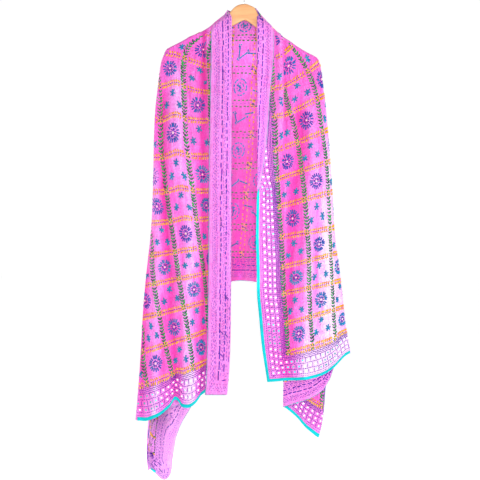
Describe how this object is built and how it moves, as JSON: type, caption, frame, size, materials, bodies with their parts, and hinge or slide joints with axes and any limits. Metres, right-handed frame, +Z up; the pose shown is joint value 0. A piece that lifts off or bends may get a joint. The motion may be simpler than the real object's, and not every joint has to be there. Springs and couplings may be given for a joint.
{
  "type": "embroidered phulkari shawl on a wooden hanger",
  "caption": "Long pink embroidered shawl hung open like a cape on a flat wooden hanger, its border turned out down the front.",
  "frame": {"origin": "where the hook rests on its rail: the inside top of the hook", "axes": "+X to the viewer's right across the shoulders, +Y to the back, +Z up; the open front faces -Y"},
  "size_m": [0.6329, 0.1524, 1.4894],
  "materials": {
    "pink_cloth": "soft woven cloth, matt",
    "pink_reverse": "wrong side of the cloth, matt",
    "turquoise_edging": "narrow satin binding",
    "pale_wood": "clear varnish",
    "steel": "polished wire"
  },
  "bodies": {
    "root": {"left_front": "pink_cloth", "right_front": "pink_cloth", "back_panel": "pink_cloth", "left_side_fold": "pink_cloth", "right_side_fold": "pink_cloth", "left_lapel": "pink_reverse", "right_lapel": "pink_reverse", "back_collar": "pink_reverse", "left_hem_edging": "turquoise_edging", "right_hem_edging": "turquoise_edging", "right_front_edging": "turquoise_edging", "left_side_hem_edging": "turquoise_edging", "right_side_hem_edging": "turquoise_edging", "back_edge_edging": "turquoise_edging", "hanger_wood": "pale_wood", "hanger_hook": "steel"}
  },
  "joints": []
}
